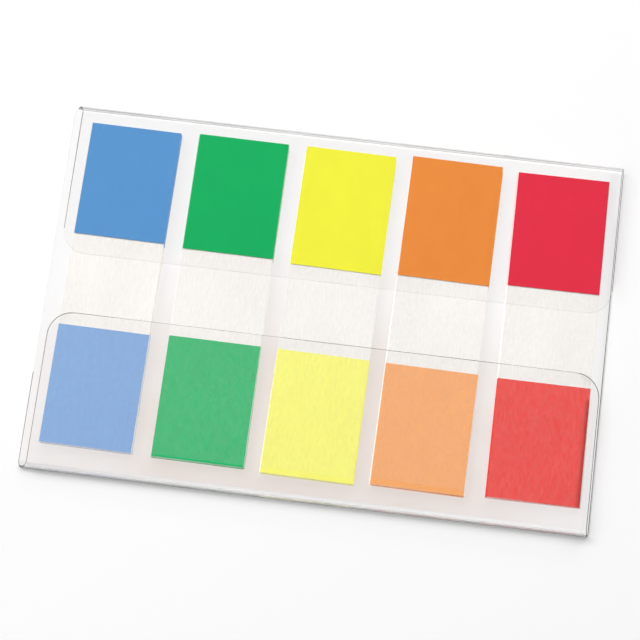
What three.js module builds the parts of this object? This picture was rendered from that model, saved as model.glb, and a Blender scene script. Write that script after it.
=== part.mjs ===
import * as THREE from "three";

// Sticky index tabs: five pads of film flags in a clear plastic sheet that is folded round them.
// Millimetres. X runs across the row of pads, Y from the lower flap to the upper flap, and Z up.
// The origin is the middle of the underside of the back panel.

// One flag: a strip of clear matt film with ink on one end.
const flagWidth = 11.9;
const flagLength = 43.2;
const filmThickness = 0.06;
const inkLength = 15.8;
const inkThickness = 0.015;

// A pad of flags. The flags point up and down the pad in turn, so the first shows its ink at one
// end of the pad and the second shows its ink at the other. Both are pieces of their own here.
const flagsPerPad = 20;
const looseFlags = 2;

// The row of pads inside the holder. rowShift is how far it lies past the middle, towards the far fold.
const padGap = 2.36;
const rowShift = 0.8;
const sideRoom = 1.48;
const endRoom = 1.9;
const flapClearance = 0.17;

// The holder: one sheet with a back panel, two folds and two flaps.
const sheetThickness = 0.3;
const backLip = 1.3;
const lowerFlapSetback = 0.4;
const flapCornerRadius = 3.2;
const windowWidth = 7.95;
const windowShift = 0.28;
const cornerSteps = 8;
const foldSteps = 16;

// The pads from left to right, as they lie: how far each one has slipped from its even place in
// the row, how far it has turned in degrees, how far its second flag has slid and turned from the
// first, and how much longer the ink of either flag is than the usual inkLength.
const pads = [
  { name: "blue", inkColour: 0x5794ce, slipX: -0.05, slipY: -0.15, turn: -0.5,
    secondSlide: 0, secondTurn: 0, firstInkExtra: -0.5, secondInkExtra: -0.2 },
  { name: "green", inkColour: 0x00ad5d, slipX: 0.13, slipY: 0, turn: -0.3,
    secondSlide: -0.25, secondTurn: 0, firstInkExtra: 0, secondInkExtra: 0.1 },
  { name: "yellow", inkColour: 0xf5f33e, slipX: 0.06, slipY: 0, turn: -0.6,
    secondSlide: -0.65, secondTurn: 0, firstInkExtra: 0.4, secondInkExtra: 0.4 },
  { name: "orange", inkColour: 0xed8d3b, slipX: -0.14, slipY: 0.3, turn: -0.6,
    secondSlide: -0.7, secondTurn: 0, firstInkExtra: 0.5, secondInkExtra: 0 },
  { name: "red", inkColour: 0xe4354b, slipX: 0, slipY: -0.15, turn: 0.4,
    secondSlide: 0, secondTurn: -0.3, firstInkExtra: -0.4, secondInkExtra: -0.4 },
];

// Sizes that follow from the ones above.
const padPitch = flagWidth + padGap;
const rowWidth = pads.length * flagWidth + (pads.length - 1) * padGap;
const restThickness = (flagsPerPad - looseFlags) * filmThickness;
const stackThickness = flagsPerPad * filmThickness + looseFlags * inkThickness;
const flapUnderside = sheetThickness + stackThickness + flapClearance;
const holderThickness = flapUnderside + sheetThickness;
const foldOuterRadius = holderThickness / 2;
const foldInnerRadius = foldOuterRadius - sheetThickness;
const flapWidth = rowWidth + 2 * sideRoom;
const holderWidth = backLip + flapWidth;
const holderLength = flagLength + 2 * (endRoom + foldOuterRadius);

const backLeft = -holderWidth / 2;
const backRight = holderWidth / 2;
const flapLeft = backLeft + backLip;
const rowCentreX = (flapLeft + backRight - lowerFlapSetback / 2) / 2;
const foldCentreY = holderLength / 2 - foldOuterRadius;
const upperFlapEdgeY = windowShift + windowWidth / 2;
const lowerFlapEdgeY = windowShift - windowWidth / 2;

// The sheet is described by cuts straight across it, from the upper flap's free edge round to the
// lower flap's. Each cut has a left and a right end, and an inner and an outer point in the YZ plane.
function flatCut(y, innerZ, outerZ, left, right) {
  return { left, right, inner: [y, innerZ], outer: [y, outerZ] };
}

// The cuts of one flap's free end, from its edge to where its rounded corners reach their full
// width. direction is +1 where the flap runs towards +Y from its free edge.
function flapEndCuts(edgeY, direction, left, right) {
  const cuts = [];
  for (let step = 0; step <= cornerSteps; step += 1) {
    const angle = (step / cornerSteps) * (Math.PI / 2);
    const inset = flapCornerRadius * (1 - Math.sin(angle));
    const y = edgeY + direction * flapCornerRadius * (1 - Math.cos(angle));
    cuts.push(flatCut(y, flapUnderside, holderThickness, left + inset, right - inset));
  }
  return cuts;
}

// The cuts of one half-round fold, from the flap down to the back panel. side is +1 at the far end
// and -1 at the near end. The sheet's side edges ease from the flap's to the back's along the bend.
function foldCuts(side, flapRight) {
  const cuts = [];
  for (let step = 0; step <= foldSteps; step += 1) {
    const angle = (step / foldSteps) * Math.PI;
    const ease = (1 - Math.cos(angle)) / 2;
    const left = THREE.MathUtils.lerp(flapLeft, backLeft, ease);
    const right = THREE.MathUtils.lerp(flapRight, backRight, ease);
    const point = (radius) => [
      side * (foldCentreY + radius * Math.sin(angle)),
      foldOuterRadius + radius * Math.cos(angle),
    ];
    cuts.push({ left, right, inner: point(foldInnerRadius), outer: point(foldOuterRadius) });
  }
  return cuts;
}

function holderCuts() {
  const lowerFlapRight = backRight - lowerFlapSetback;
  return [
    ...flapEndCuts(upperFlapEdgeY, 1, flapLeft, backRight),
    ...foldCuts(1, backRight),
    ...foldCuts(-1, lowerFlapRight).reverse(),
    ...flapEndCuts(lowerFlapEdgeY, -1, flapLeft, lowerFlapRight).reverse(),
  ];
}

// A box with one row of faces between each two cuts, whose corners are moved onto the cuts.
function sheetThroughCuts(cuts) {
  const rows = cuts.length - 1;
  const geometry = new THREE.BoxGeometry(1, rows, 1, 1, rows, 1);
  const corners = geometry.attributes.position;
  for (let i = 0; i < corners.count; i += 1) {
    const cut = cuts[Math.round(corners.getY(i) + rows / 2)];
    const x = corners.getX(i) < 0 ? cut.left : cut.right;
    const [y, z] = corners.getZ(i) < 0 ? cut.inner : cut.outer;
    corners.setXYZ(i, x, y, z);
  }
  geometry.computeVertexNormals();
  return geometry;
}

function makeHolder() {
  const clearSheet = new THREE.MeshStandardMaterial({
    color: 0xf6f6f6, roughness: 0.12, metalness: 0, transparent: true, opacity: 0.2,
  });
  const holder = new THREE.Mesh(sheetThroughCuts(holderCuts()), clearSheet);
  holder.name = "holder";
  return holder;
}

// A flat slab of the flags' width whose underside is at z = 0.
function slab(length, thickness) {
  const geometry = new THREE.BoxGeometry(flagWidth, length, thickness);
  geometry.translate(0, 0, thickness / 2);
  return geometry;
}

function makeFilm(name) {
  const clearFilm = new THREE.MeshStandardMaterial({
    color: 0xf7f5f1, roughness: 0.55, metalness: 0, transparent: true, opacity: 0.3,
  });
  const film = new THREE.Mesh(slab(flagLength, filmThickness), clearFilm);
  film.name = name;
  return film;
}

// Ink on the top face of a flag. side is +1 where it is at the far end and -1 at the near end.
function makeInk(name, colour, length, side) {
  const ink = new THREE.Mesh(
    slab(length, inkThickness),
    new THREE.MeshStandardMaterial({ color: colour, roughness: 0.45, metalness: 0 }),
  );
  ink.name = name;
  ink.position.set(0, (side * (flagLength - length)) / 2, filmThickness);
  return ink;
}

// One flag that lies loose on top of its pad: its film and its ink.
function makeFlag(name, pad, length, side) {
  const flag = new THREE.Group();
  flag.add(makeFilm(name));
  flag.add(makeInk(`${name}_ink`, pad.inkColour, length, side));
  return flag;
}

// The flags under the two loose ones, held together by their own adhesive.
function makeRest(name) {
  const film = new THREE.MeshStandardMaterial({ color: 0xf2f0ea, roughness: 0.6, metalness: 0 });
  const rest = new THREE.Mesh(slab(flagLength, restThickness), film);
  rest.name = name;
  return rest;
}

function makePad(pad, place) {
  const group = new THREE.Group();
  const evenX = rowCentreX + (place - (pads.length - 1) / 2) * padPitch;
  group.position.set(evenX + pad.slipX, rowShift + pad.slipY, sheetThickness);
  group.rotation.z = THREE.MathUtils.degToRad(pad.turn);

  const rest = makeRest(`${pad.name}_pad`);
  const second = makeFlag(`${pad.name}_second_flag`, pad, inkLength + pad.secondInkExtra, -1);
  const first = makeFlag(`${pad.name}_first_flag`, pad, inkLength + pad.firstInkExtra, 1);
  rest.position.y = pad.secondSlide;
  second.position.set(0, pad.secondSlide, restThickness);
  second.rotation.z = THREE.MathUtils.degToRad(pad.secondTurn);
  first.position.z = restThickness + filmThickness + inkThickness;
  group.add(rest, second, first);
  return group;
}

const indexTabs = new THREE.Group();
indexTabs.add(makeHolder());
pads.forEach((pad, place) => indexTabs.add(makePad(pad, place)));

export default indexTabs;
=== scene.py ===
import math
import random

import bpy
from mathutils import Matrix, Vector


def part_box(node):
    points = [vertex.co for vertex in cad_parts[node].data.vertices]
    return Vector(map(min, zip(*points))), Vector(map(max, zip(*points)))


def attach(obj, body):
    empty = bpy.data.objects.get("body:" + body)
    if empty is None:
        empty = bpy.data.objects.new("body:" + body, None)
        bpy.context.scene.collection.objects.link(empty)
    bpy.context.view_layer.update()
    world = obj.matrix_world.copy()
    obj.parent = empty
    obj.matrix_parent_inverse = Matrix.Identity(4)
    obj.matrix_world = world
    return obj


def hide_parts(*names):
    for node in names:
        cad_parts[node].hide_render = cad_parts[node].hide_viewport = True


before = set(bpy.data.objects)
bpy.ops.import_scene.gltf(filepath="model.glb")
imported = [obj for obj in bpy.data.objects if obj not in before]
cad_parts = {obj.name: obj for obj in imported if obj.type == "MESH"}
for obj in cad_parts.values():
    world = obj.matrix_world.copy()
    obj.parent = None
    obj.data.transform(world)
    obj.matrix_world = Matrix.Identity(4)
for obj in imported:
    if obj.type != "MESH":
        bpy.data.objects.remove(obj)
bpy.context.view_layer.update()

MM = 0.001

# The camera looks down on the holder from its near side, a little from the right.
CAMERA_AIM = Vector((-0.55, -0.4, 0)) * MM
CAMERA_DISTANCE = 255.4 * MM
CAMERA_TURN = math.radians(11.2)
CAMERA_TILT = math.radians(13.44)
CAMERA_ROLL = math.radians(-4.12)
CAMERA_LENS = 110.4

PAD_NAMES = ("blue", "green", "yellow", "orange", "red")

# The holder's sizes that its box doesn't give, as in the model.
BACK_LIP = 1.3 * MM
LOWER_FLAP_SETBACK = 0.4 * MM
FLAP_CORNER_RADIUS = 3.2 * MM
WINDOW_WIDTH = 7.95 * MM
WINDOW_SHIFT = 0.28 * MM

# How far each flap sags at its free edge, and the chamfer round the sheet's outline.
FLAP_SAG = 0.08 * MM
CHAMFER = 0.07 * MM
CHAMFER_DROP = 0.065 * MM

# A band in the flaps shades the floor. This is how far in from the right it starts and stops.
SHADE_START = 1.55 * MM
SHADE_STOP = 0.55 * MM

# A pad's leaves: how many lie under the two loose flags, how much of its room each fills, and how far
# they stray from a neat stack.
LEAF_COUNT = 18
LEAF_FILL = 0.97
LEAF_STRAY = 0.04 * MM
LEAF_STRAY_TURN = math.radians(0.1)

# The gap of air above and below a loose flag or its ink.
HAIR = 0.002 * MM

# Clear plastic's own tint.
CLEAR_TINT = (0.995, 0.99, 0.99, 1)

# How much of the floor shows as plain white: near the holder, and through the sheet.
FLOOR_WHITE_NEAR = 0.14
FLOOR_WHITE_THROUGH = 0.85

# How bright the room is, and how much paler its walls are to rays that the sheet mirrors or bends.
ROOM_LEVEL = 0.1
WALL_SHARE = 0.4


def srgb(red, green, blue):
    """A colour as read off a screen, turned into the linear values that shaders take."""
    def linear(value):
        value /= 255
        return value / 12.92 if value <= 0.04045 else ((value + 0.055) / 1.055) ** 2.4
    return (linear(red), linear(green), linear(blue), 1)


# The colours of the flags' inked ends: on the top flag, and on the one under it.
TOP_INKS = {
    "blue": srgb(87, 148, 205),
    "green": srgb(0, 173, 93),
    "yellow": srgb(245, 243, 61),
    "orange": srgb(237, 141, 60),
    "red": srgb(229, 44, 69),
}
UNDER_INKS = {
    "blue": srgb(130, 172, 222),
    "green": srgb(20, 184, 110),
    "yellow": srgb(255, 252, 121),
    "orange": srgb(250, 174, 108),
    "red": srgb(240, 56, 48),
}


def add_camera():
    data = bpy.data.cameras.new("camera")
    data.lens = CAMERA_LENS
    camera = bpy.data.objects.new("camera", data)
    turn = Matrix.Rotation(CAMERA_TURN, 4, "Z")
    tilt = Matrix.Rotation(CAMERA_TILT, 4, "X")
    roll = Matrix.Rotation(CAMERA_ROLL, 4, "Z")
    back = Matrix.Translation((0, 0, CAMERA_DISTANCE))
    camera.matrix_world = Matrix.Translation(CAMERA_AIM) @ turn @ tilt @ back @ roll
    bpy.context.scene.collection.objects.link(camera)
    bpy.context.scene.camera = camera


# Materials

class Shader:
    """A new material and short ways to add and join its nodes."""

    def __init__(self, name):
        self.material = bpy.data.materials.new(name)
        self.material.use_nodes = True
        self.tree = self.material.node_tree
        self.main = self.tree.nodes["Principled BSDF"]
        self.output = self.tree.nodes["Material Output"]

    def set(self, **values):
        for name, value in values.items():
            self.main.inputs[name.replace("_", " ")].default_value = value

    def add(self, kind, **settings):
        node = self.tree.nodes.new(kind)
        for name, value in settings.items():
            setattr(node, name, value)
        return node

    def join(self, source, target):
        self.tree.links.new(source, target)

    def math(self, operation, first, second=0.0, clamp=False):
        node = self.add("ShaderNodeMath", operation=operation, use_clamp=clamp)
        for place, value in enumerate((first, second)):
            if isinstance(value, (int, float)):
                node.inputs[place].default_value = value
            else:
                self.join(value, node.inputs[place])
        return node.outputs["Value"]

    def mix(self, factor, first, second):
        node = self.add("ShaderNodeMixShader")
        if isinstance(factor, (int, float)):
            node.inputs["Fac"].default_value = factor
        else:
            self.join(factor, node.inputs["Fac"])
        self.join(first, node.inputs[1])
        self.join(second, node.inputs[2])
        return node.outputs["Shader"]

    def place(self, scale=(1, 1, 1)):
        """Object coordinates in millimetres, stretched by scale."""
        where = self.add("ShaderNodeTexCoord")
        mapping = self.add("ShaderNodeMapping")
        mapping.inputs["Scale"].default_value = [value / MM for value in scale]
        self.join(where.outputs["Object"], mapping.inputs["Vector"])
        return mapping.outputs["Vector"]

    def noise(self, scale, detail=3.0, roughness=0.5):
        """Noise whose waves per millimetre along each axis are given by scale."""
        node = self.add("ShaderNodeTexNoise")
        node.inputs["Scale"].default_value = 1
        node.inputs["Detail"].default_value = detail
        node.inputs["Roughness"].default_value = roughness
        self.join(self.place(scale), node.inputs["Vector"])
        return node.outputs["Fac"]

    def spread(self, value, low, high, start=0.3, stop=0.7):
        """value stretched so that start to stop becomes low to high."""
        node = self.add("ShaderNodeMapRange")
        node.inputs["From Min"].default_value = start
        node.inputs["From Max"].default_value = stop
        node.inputs["To Min"].default_value = low
        node.inputs["To Max"].default_value = high
        self.join(value, node.inputs["Value"])
        return node.outputs["Result"]

    def shades(self, factor, dark, light):
        """Colours from dark to light by factor."""
        node = self.add("ShaderNodeMix", data_type="RGBA")
        self.join(factor, node.inputs["Factor"])
        node.inputs["A"].default_value = dark
        node.inputs["B"].default_value = light
        self.join(node.outputs["Result"], self.main.inputs["Base Color"])

    def bump(self, height, distance):
        node = self.add("ShaderNodeBump")
        node.inputs["Strength"].default_value = 1
        node.inputs["Distance"].default_value = distance
        self.join(height, node.inputs["Height"])
        self.join(node.outputs["Normal"], self.main.inputs["Normal"])


def toned(colour, factor):
    """A colour made darker or lighter by factor."""
    return (*(min(value * factor, 1) for value in colour[:3]), 1)


def ink_material(name, colour):
    """Printed ink, a little uneven, with the fine streaks of the film's drawing direction."""
    shader = Shader(name)
    shader.set(Roughness=0.5, Specular_IOR_Level=0.1)
    cloud = shader.noise((0.35, 0.2, 1), detail=5, roughness=0.6)
    streaks = shader.noise((4.5, 0.6, 1), detail=2)
    uneven = shader.math("ADD", shader.math("MULTIPLY", cloud, 0.6), shader.math("MULTIPLY", streaks, 0.4))
    shader.shades(shader.spread(uneven, 0, 1), toned(colour, 0.965), toned(colour, 1.035))
    shader.join(shader.spread(streaks, 0.44, 0.56), shader.main.inputs["Roughness"])
    shader.bump(streaks, 0.002 * MM)
    return shader.material


def film_material():
    """Matt film: a clear strip whose fibrous tooth veils what lies under it."""
    shader = Shader("matt film")
    shader.set(Base_Color=srgb(250, 247, 243), Roughness=0.6, Specular_IOR_Level=0.1)
    fibres = shader.noise((5, 1.4, 1), detail=4, roughness=0.6)
    shader.join(shader.spread(fibres, 0.02, 0.06), shader.main.inputs["Alpha"])
    shader.bump(fibres, 0.0015 * MM)
    return shader.material


def glowing_leaf_side_material(name, colour):
    """The leaves' own sides, with a faint painted glow that lightens them where they lie in shade."""
    shader = Shader(name)
    # Painted glow: a weak emission in the sides' own colour stands in for light they don't get.
    shader.set(Roughness=0.6, Specular_IOR_Level=0.1, Emission_Color=colour, Emission_Strength=0.22)
    layers = shader.noise((0.3, 0.3, 9), detail=2)
    shader.shades(shader.spread(layers, 0, 1), toned(colour, 0.9), toned(colour, 1.05))
    return shader.material


def stack_material():
    """Many leaves of film, together an almost white block, a little warm."""
    shader = Shader("stacked film")
    shader.set(Roughness=0.6, Specular_IOR_Level=0.1)
    cloud = shader.noise((0.12, 0.08, 0.5), detail=4)
    shader.shades(shader.spread(cloud, 0, 1), srgb(244, 241, 237), srgb(251, 248, 244))
    fibres = shader.noise((5, 1.4, 1), detail=3)
    shader.bump(fibres, 0.001 * MM)
    return shader.material


def clear_to_lamps(shader, clearness, unbent=0.0):
    """Lets lamps shine through a material: their rays meet a plain tint in its place.

    unbent is the share of the other rays that go straight through."""
    path = shader.add("ShaderNodeLightPath")
    plain = shader.math("MAXIMUM", path.outputs["Is Shadow Ray"], path.outputs["Is Diffuse Ray"])
    clear = shader.add("ShaderNodeBsdfTransparent")
    clear.inputs["Color"].default_value = (clearness, clearness, clearness, 1)
    straight = shader.add("ShaderNodeBsdfTransparent")
    seen = shader.mix(unbent, shader.main.outputs["BSDF"], straight.outputs["BSDF"])
    shader.join(shader.mix(plain, seen, clear.outputs["BSDF"]), shader.output.inputs["Surface"])


def clear_shader(name):
    """Clear plastic with faint scuffs along the holder."""
    shader = Shader(name)
    shader.set(
        Base_Color=CLEAR_TINT, IOR=1.34, Transmission_Weight=1.0, Specular_IOR_Level=0.5,
    )
    scuffs = shader.noise((0.25, 3, 1), detail=5, roughness=0.7)
    shader.join(shader.spread(scuffs, 0.01, 0.05), shader.main.inputs["Roughness"])
    shader.bump(shader.noise((0.06, 0.25, 1), detail=2), 0.01 * MM)
    return shader


def sheet_material(name, clearness):
    """The flat sheet. clearness is the share of a lamp's light that one face lets through."""
    shader = clear_shader(name)
    clear_to_lamps(shader, clearness)
    return shader.material


def folded_material(name, clearness):
    """The sheet where it bends, with painted reflections: long grey streaks run along it, more of them
    towards its left end.
    """
    shader = clear_shader(name)
    # Painted reflection: grey streaks in the colour, for the light that the fold mirrors and bends.
    streaks = shader.noise((0.05, 2.6, 2.6), detail=3, roughness=0.6)
    where = shader.add("ShaderNodeTexCoord")
    split = shader.add("ShaderNodeSeparateXYZ")
    shader.join(where.outputs["Object"], split.inputs["Vector"])
    to_left = shader.spread(split.outputs["X"], 1, 0, start=-30 * MM, stop=30 * MM)
    painted_reflection_streaks = shader.math("MULTIPLY", shader.spread(streaks, 0.1, 1, start=0.48, stop=0.7), to_left)
    shader.shades(painted_reflection_streaks, (0.98, 0.97, 0.97, 1), (0.68, 0.65, 0.65, 1))
    clear_to_lamps(shader, clearness, unbent=0.4)
    return shader.material


def back_material(name):
    """The back panel, darker and warmer round the pads' middle near part: painted warm shade where the
    pads shade it.
    """
    shader = clear_shader(name)
    gradient = shader.add("ShaderNodeTexGradient", gradient_type="SPHERICAL")
    where = shader.add("ShaderNodeTexCoord")
    mapping = shader.add("ShaderNodeMapping", vector_type="TEXTURE")
    mapping.inputs["Location"].default_value = (-1 * MM, -17 * MM, 0)
    mapping.inputs["Scale"].default_value = (44 * MM, 26 * MM, 100 * MM)
    shader.join(where.outputs["Object"], mapping.inputs["Vector"])
    shader.join(mapping.outputs["Vector"], gradient.inputs["Vector"])
    cloud = shader.spread(shader.noise((0.15, 0.15, 1), detail=4), 0.75, 1.25)
    # Painted shade: a warm darkening that spreads round the pads' middle near part, a little uneven.
    painted_warm_shade = shader.math("MULTIPLY", shader.spread(gradient.outputs["Fac"], 0, 1, start=0, stop=0.6), cloud)
    shader.shades(painted_warm_shade, CLEAR_TINT, (0.885, 0.815, 0.775, 1))
    clear_to_lamps(shader, 1.0)
    return shader.material


def edge_material(name, weak, strong, shade=0.1, solid=False):
    """The sheet's cut edges and its fold's crest, grey and part see-through: painted shade for the dark
    lines that bent light draws there, more in some places than in others.
    """
    shader = Shader(name)
    shader.set(Base_Color=(shade, shade * 0.98, shade * 0.98, 1), Roughness=0.45, Specular_IOR_Level=0.1)
    # Painted shade: how dark the grey line is wanders along the edge.
    painted_line_strength = shader.noise((0.08, 0.08, 0.1), detail=3, roughness=0.55)
    shader.join(shader.spread(painted_line_strength, weak, strong), shader.main.inputs["Alpha"])
    if not solid:
        clear_to_lamps(shader, 1.0)
    return shader.material


def floor_material():
    """White, plainer white further off, with the holder's shadow on it."""
    shader = Shader("white floor")
    shader.set(Base_Color=(0.97, 0.97, 0.97, 1), Roughness=0.9, Specular_IOR_Level=0.0)
    white = shader.add("ShaderNodeEmission")
    white.inputs["Color"].default_value = (1, 1, 1, 1)
    white.inputs["Strength"].default_value = 1.0
    path = shader.add("ShaderNodeLightPath")
    where = shader.add("ShaderNodeTexCoord")
    reach = shader.add("ShaderNodeVectorMath", operation="LENGTH")
    shader.join(where.outputs["Object"], reach.inputs[0])
    white_here = shader.spread(reach.outputs["Value"], FLOOR_WHITE_NEAR, 1, start=80 * MM, stop=300 * MM)
    seen = shader.math("MULTIPLY", path.outputs["Is Camera Ray"], white_here)
    through = shader.math("MAXIMUM", path.outputs["Is Transmission Ray"], path.outputs["Is Glossy Ray"])
    share = shader.math("ADD", seen, shader.math("MULTIPLY", through, FLOOR_WHITE_THROUGH))
    mixed = shader.mix(share, shader.main.outputs["BSDF"], white.outputs["Emission"])
    shader.join(mixed, shader.output.inputs["Surface"])
    return shader.material


def add_mesh(name, corners, faces, looks, look_of_face, replaced):
    """A mesh piece with a material for each face, in a CAD node's place."""
    mesh = bpy.data.meshes.new(name)
    mesh.from_pydata(corners, [], faces)
    for look in looks:
        mesh.materials.append(look)
    mesh.polygons.foreach_set("material_index", look_of_face)
    piece = bpy.data.objects.new(name, mesh)
    bpy.context.scene.collection.objects.link(piece)
    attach(piece, "root")
    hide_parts(replaced)
    return piece


# The clear holder, as a run of straight cuts across the sheet

CLEAR, DIM, FOLD, CREST, EDGE, SOFT_EDGE, LINE, SIDE, BACK, RIM = range(10)


def corner_inset(along, radius):
    """How far a rounded corner's outline lies in from the side, along from the free edge."""
    rise = max(FLAP_CORNER_RADIUS - along, 0)
    return FLAP_CORNER_RADIUS - math.sqrt(max(radius ** 2 - rise ** 2, 0))


def holder_cuts():
    """Cuts across the sheet, from the upper flap's free edge round both folds to the lower flap's.

    Each has its inner and outer face, its ends, the same a chamfer further in, its look and that of its
    left edge up to the next cut, and in a flap whether it has the band that shades."""
    low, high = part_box("holder")
    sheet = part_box("blue_pad")[0].z
    radius = high.z / 2
    fold_y = high.y - radius
    flap_left = low.x + BACK_LIP
    lower_right = high.x - LOWER_FLAP_SETBACK

    def flap(edge_y, side, right, edge_look, corner_steps=14, panel_steps=8):
        alongs = [0, CHAMFER]
        for step in range(1, corner_steps + 1):
            along = FLAP_CORNER_RADIUS * (1 - math.cos(step / corner_steps * math.pi / 2))
            if along > CHAMFER * 1.5:
                alongs.append(along)
        length = side * (side * fold_y - edge_y)
        for step in range(1, panel_steps):
            alongs.append(FLAP_CORNER_RADIUS + (length - FLAP_CORNER_RADIUS) * step / panel_steps)
        made = []
        for along in alongs:
            sag = FLAP_SAG * (1 - math.cos((1 - along / length) * math.pi)) / 2
            drop = CHAMFER_DROP if along == 0 else 0
            top = high.z - sag
            y = edge_y + side * along
            inset = corner_inset(along, FLAP_CORNER_RADIUS)
            further = corner_inset(along, FLAP_CORNER_RADIUS - CHAMFER)
            if along == 0:
                further = inset + CHAMFER / 2
            soft_corner = edge_look == SOFT_EDGE and along < 0.9 * FLAP_CORNER_RADIUS
            made.append({
                "ends": (flap_left + inset, right - inset),
                "further": (flap_left + further, right - further),
                "inner": (y, top - sheet + drop), "outer": (y, top - drop),
                "look": edge_look if along == 0 else CLEAR,
                "left": SOFT_EDGE if soft_corner else EDGE,
                "shades": along > 1.05 * FLAP_CORNER_RADIUS,
            })
        return made

    def fold(side, flap_right, steps=28):
        made = []
        for step in range(steps + 1):
            angle = step / steps * math.pi
            ease = (1 - math.cos(angle)) / 2
            faces = []
            for reach in (radius - sheet, radius):
                faces.append((side * (fold_y + reach * math.sin(angle)), radius + reach * math.cos(angle)))
            left = flap_left + (low.x - flap_left) * ease
            right = flap_right + (high.x - flap_right) * ease
            from_side = abs(math.degrees(angle) - 90)
            if side > 0:
                look = CREST if from_side < 26 else CLEAR
            else:
                look = CREST if from_side < 25 else FOLD if step > 2 else CLEAR
            made.append({
                "ends": (left, right), "further": (left + CHAMFER, right - CHAMFER),
                "inner": faces[0], "outer": faces[1], "look": look,
                "left": SOFT_EDGE if side > 0 and step > steps / 2 else EDGE,
            })
        return made

    def back(far_left_look_from=-0.4, steps=8):
        """The panel between the folds: its left edge is fainter in its far part."""
        made = []
        for step in range(1, steps):
            y = fold_y * (1 - 2 * step / steps)
            made.append({
                "ends": (low.x, high.x), "further": (low.x + CHAMFER, high.x - CHAMFER),
                "inner": (y, sheet), "outer": (y, 0), "look": BACK,
                "left": SOFT_EDGE if y > far_left_look_from * fold_y else EDGE,
            })
        return made

    upper = flap(WINDOW_SHIFT + WINDOW_WIDTH / 2, 1, high.x, SOFT_EDGE)
    lower = flap(WINDOW_SHIFT - WINDOW_WIDTH / 2, -1, lower_right, LINE)
    near = fold(-1, lower_right)[::-1] + lower[::-1]
    # A cut's look is that of the strip up to the next one, so the looks of reversed cuts move by one.
    for cut, following in zip(near, near[1:]):
        cut["look"] = following["look"]
    return upper + fold(1, high.x) + back() + near


def add_holder(looks):
    """The sheet: a ring of twelve corners at each cut, joined up along the run and closed at its ends."""
    cuts = holder_cuts()
    corners = []
    for cut in cuts:
        (left, right), (left_in, right_in) = cut["ends"], cut["further"]
        shade, shade_end = right_in - SHADE_START, right_in - SHADE_STOP
        (inner_y, inner_z), (outer_y, outer_z) = cut["inner"], cut["outer"]
        # At the ends each face is drawn towards the middle of the sheet's thickness.
        share = CHAMFER_DROP / math.hypot(outer_y - inner_y, outer_z - inner_z)
        mean_inner = (inner_y + (outer_y - inner_y) * share, inner_z + (outer_z - inner_z) * share)
        mean_outer = (outer_y - (outer_y - inner_y) * share, outer_z - (outer_z - inner_z) * share)
        inner, outer = (inner_y, inner_z), (outer_y, outer_z)
        corners += [(left, *mean_inner)] + [(x, *inner) for x in (left_in, shade, shade_end, right_in)]
        corners += [(right, *mean_inner), (right, *mean_outer)]
        corners += [(x, *outer) for x in (right_in, shade_end, shade, left_in)] + [(left, *mean_outer)]
    ring = 12
    faces, look_of_face = [], []
    for row, cut in enumerate(cuts[:-1]):
        body = cut["look"]
        inner = CLEAR if body == CREST else body
        shades = cut.get("shades", True)
        band, inner_band = (DIM if shades and look == CLEAR else look for look in (body, inner))
        left_look = cut["left"]
        right_look, side = EDGE, SIDE
        if left_look == SOFT_EDGE and cut["outer"][1] > cut["inner"][1]:
            right_look, side = SOFT_EDGE, SOFT_EDGE
        rim, inner_rim = (RIM if look == BACK else look for look in (body, inner))
        across = (left_look, inner, inner_band, inner_rim, right_look, side)
        across += (right_look, rim, band, body, left_look, left_look)
        if body in (SOFT_EDGE, LINE):
            across = (body,) * ring
        a, b = ring * row, ring * (row + 1)
        for place in range(ring):
            following = (place + 1) % ring
            faces.append((a + place, b + place, b + following, a + following))
            look_of_face.append(across[place])
    last = ring * (len(cuts) - 1)
    for first, outward, look in ((0, True, SOFT_EDGE), (last, False, LINE)):
        for place in range(5):
            face = (first + place, first + place + 1, first + 10 - place, first + 11 - place)
            faces.append(face if outward else face[::-1])
            look_of_face.append(look)
    holder = add_mesh("clear_holder", corners, faces, looks, look_of_face, "holder")
    holder.data.shade_smooth()
    holder.data.set_sharp_from_angle(angle=math.radians(20))


# The leaves of a pad, under its two loose flags

def pad_ground(node):
    """A pad's middle, width, length and turn, read from the corners of its solid."""
    spots = {(round(v.co.x, 6), round(v.co.y, 6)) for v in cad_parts[node].data.vertices}
    spots = [Vector(spot) for spot in spots]
    middle = sum(spots, Vector((0, 0))) / len(spots)
    near = sorted(spots, key=lambda spot: spot.y)[:2]
    left, right = sorted(near, key=lambda spot: spot.x)
    length = 2 * ((left + right) / 2 - middle).length
    return middle, (right - left).length, length, math.atan2(right.y - left.y, right.x - left.x)


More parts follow.
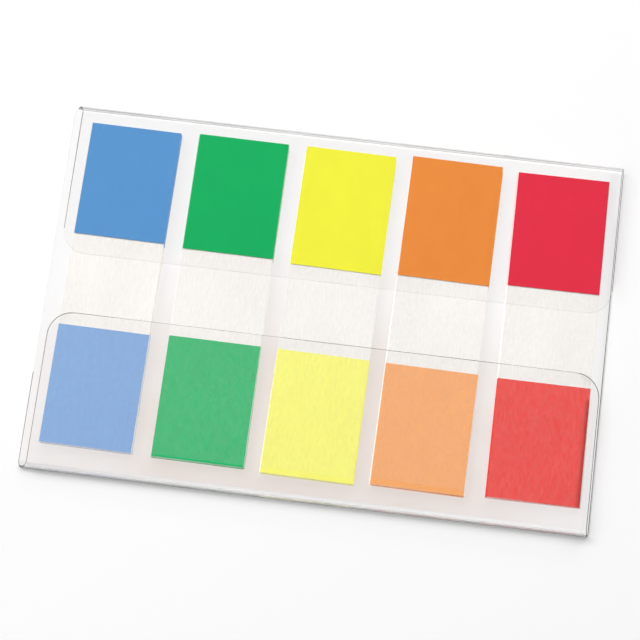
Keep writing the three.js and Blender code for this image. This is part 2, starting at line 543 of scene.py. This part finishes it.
def add_leaves(name, looks, rng):
    """A pad's leaves, whose inked ends point up and down the pad in turn."""
    node = f"{name}_pad"
    middle, width, length, turn = pad_ground(node)
    low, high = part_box(node)
    ink_low, ink_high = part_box(f"{name}_second_flag_ink")
    ink_length = ink_high.y - ink_low.y
    pitch = (high.z - low.z) / LEAF_COUNT
    corners, faces, look_of_face = [], [], []
    for leaf in range(LEAF_COUNT):
        stray = Vector((rng.gauss(0, 1), rng.gauss(0, 1))) * LEAF_STRAY
        angle = turn + rng.gauss(0, 1) * LEAF_STRAY_TURN
        ink_side = 1 if (LEAF_COUNT - leaf) % 2 else -1
        split = ink_side * (length / 2 - ink_length)
        first = len(corners)
        for y in (-length / 2, split, length / 2):
            for x, top in ((-1, 0), (1, 0), (1, 1), (-1, 1)):
                spot = Vector((x * width / 2, y))
                spot.rotate(Matrix.Rotation(angle, 2))
                spot += middle + stray
                corners.append((*spot, low.z + (leaf + top * LEAF_FILL) * pitch))
        faces.append(tuple(first + place for place in (0, 1, 2, 3)))
        look_of_face.append(1 if ink_side < 0 else 0)
        for half in range(2):
            start = first + 4 * half
            for place in range(4):
                following = (place + 1) % 4
                faces.append((start + place, start + 4 + place, start + 4 + following, start + following))
                look_of_face.append(1 if (half == 1) == (ink_side > 0) else 0)
        faces.append(tuple(first + 8 + place for place in (3, 2, 1, 0)))
        look_of_face.append(1 if ink_side > 0 else 0)
    add_mesh(f"{name}_leaves", corners, faces, looks, look_of_face, node)


def add_slab(node, look, steps=12):
    """A flag, or its ink, as a thin slab that leaves a hair of air above and below it."""
    middle, width, length, turn = pad_ground(node)
    low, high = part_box(node)
    corners, faces = [], []
    for step in range(steps + 1):
        y = length * (step / steps - 0.5)
        for x, z in ((-1, low.z + HAIR), (1, low.z + HAIR), (1, high.z - HAIR), (-1, high.z - HAIR)):
            spot = Vector((x * width / 2, y))
            spot.rotate(Matrix.Rotation(turn, 2))
            corners.append((*(spot + middle), z))
    faces.append((0, 1, 2, 3))
    for step in range(steps):
        for place in range(4):
            following = (place + 1) % 4
            start = 4 * step
            faces.append((start + place, start + 4 + place, start + 4 + following, start + following))
    faces.append(tuple(4 * steps + place for place in (3, 2, 1, 0)))
    add_mesh(f"{node}_slab", corners, faces, [look], [0] * len(faces), node)


# Floor and light

def add_floor():
    mesh = bpy.data.meshes.new("floor")
    reach = 1.5
    corners = [(-reach, -reach, 0), (reach, -reach, 0), (reach, reach, 0), (-reach, reach, 0)]
    mesh.from_pydata(corners, [], [(0, 1, 2, 3)])
    mesh.materials.append(floor_material())
    floor = bpy.data.objects.new("floor", mesh)
    floor.location.z = -0.02 * MM
    bpy.context.scene.collection.objects.link(floor)


def add_light(name, turn, height, distance, size, power):
    """A round soft lamp: turn is its bearing from +X and height its elevation, both in degrees."""
    data = bpy.data.lights.new(name, "AREA")
    data.shape = "DISK"
    data.size = size
    data.energy = power
    light = bpy.data.objects.new(name, data)
    turn, height = math.radians(turn), math.radians(height)
    flat = math.cos(height)
    place = Vector((flat * math.cos(turn), flat * math.sin(turn), math.sin(height))) * distance
    light.location = place
    light.rotation_euler = place.to_track_quat("Z", "Y").to_euler()
    bpy.context.scene.collection.objects.link(light)


def add_world():
    """A room with a dim ceiling, so that the clear sheet reflects little into the camera from above.

    Its walls are paler to rays that the sheet mirrors or bends. To all but the camera the rest is dim."""
    world = bpy.data.worlds.new("room")
    world.use_nodes = True
    tree = world.node_tree

    def ramp(source, low, high, start=0.0, stop=1.0):
        node = tree.nodes.new("ShaderNodeMapRange")
        node.inputs["From Min"].default_value = start
        node.inputs["From Max"].default_value = stop
        node.inputs["To Min"].default_value = low
        node.inputs["To Max"].default_value = high
        tree.links.new(source, node.inputs["Value"])
        return node.outputs["Result"]

    def join(operation, first, second):
        node = tree.nodes.new("ShaderNodeMath")
        node.operation = operation
        tree.links.new(first, node.inputs[0])
        tree.links.new(second, node.inputs[1])
        return node.outputs["Value"]

    path = tree.nodes.new("ShaderNodeLightPath")
    direction = tree.nodes.new("ShaderNodeTexCoord")
    height = tree.nodes.new("ShaderNodeSeparateXYZ")
    tree.links.new(direction.outputs["Generated"], height.inputs["Vector"])
    walls = ramp(height.outputs["Z"], WALL_SHARE, 0.0, start=0.6, stop=0.9)
    turned = join("MAXIMUM", path.outputs["Is Glossy Ray"], path.outputs["Is Transmission Ray"])
    pale = join("MULTIPLY", turned, walls)
    strength = ramp(join("MAXIMUM", path.outputs["Is Camera Ray"], pale), ROOM_LEVEL, 1.0)
    tree.nodes["Background"].inputs["Color"].default_value = (1, 1, 1, 1)
    tree.links.new(strength, tree.nodes["Background"].inputs["Strength"])
    bpy.context.scene.world = world


add_camera()
bpy.context.scene.view_settings.view_transform = "Standard"
add_floor()
add_world()
add_light("key", turn=145, height=50, distance=1.0, size=0.5, power=5.8)
add_light("far fill", turn=80, height=42, distance=1.2, size=1.0, power=7.8)
add_light("side fill", turn=20, height=38, distance=1.2, size=1.0, power=0.9)
add_light("near fill", turn=215, height=45, distance=1.2, size=1.0, power=3.4)

film = film_material()
stack = stack_material()
plain_side = glowing_leaf_side_material("leaf sides", srgb(248, 244, 240))
add_holder([
    sheet_material("clear sheet", 1.0),
    sheet_material("clear sheet by an edge", 0.68),
    folded_material("folded sheet", 0.42),
    edge_material("fold's crest", 0.3, 0.55),
    edge_material("cut edge", 0.42, 0.85),
    edge_material("faint cut edge", 0.03, 0.12),
    edge_material("free edge", 0.15, 0.5),
    edge_material("right side", 0.8, 0.95, solid=True),
    back_material("back panel"),
    sheet_material("back panel's rim", 0.5),
])
draws = random.Random(7)
for name in PAD_NAMES:
    top_ink = ink_material(f"{name} ink", TOP_INKS[name])
    under_ink = ink_material(f"{name} ink under film", UNDER_INKS[name])
    add_leaves(name, [plain_side, glowing_leaf_side_material(f"{name} leaf sides", UNDER_INKS[name])], draws)
    add_slab(f"{name}_first_flag_ink", top_ink)
    add_slab(f"{name}_second_flag_ink", under_ink)
    add_slab(f"{name}_first_flag", film)
    add_slab(f"{name}_second_flag", stack)
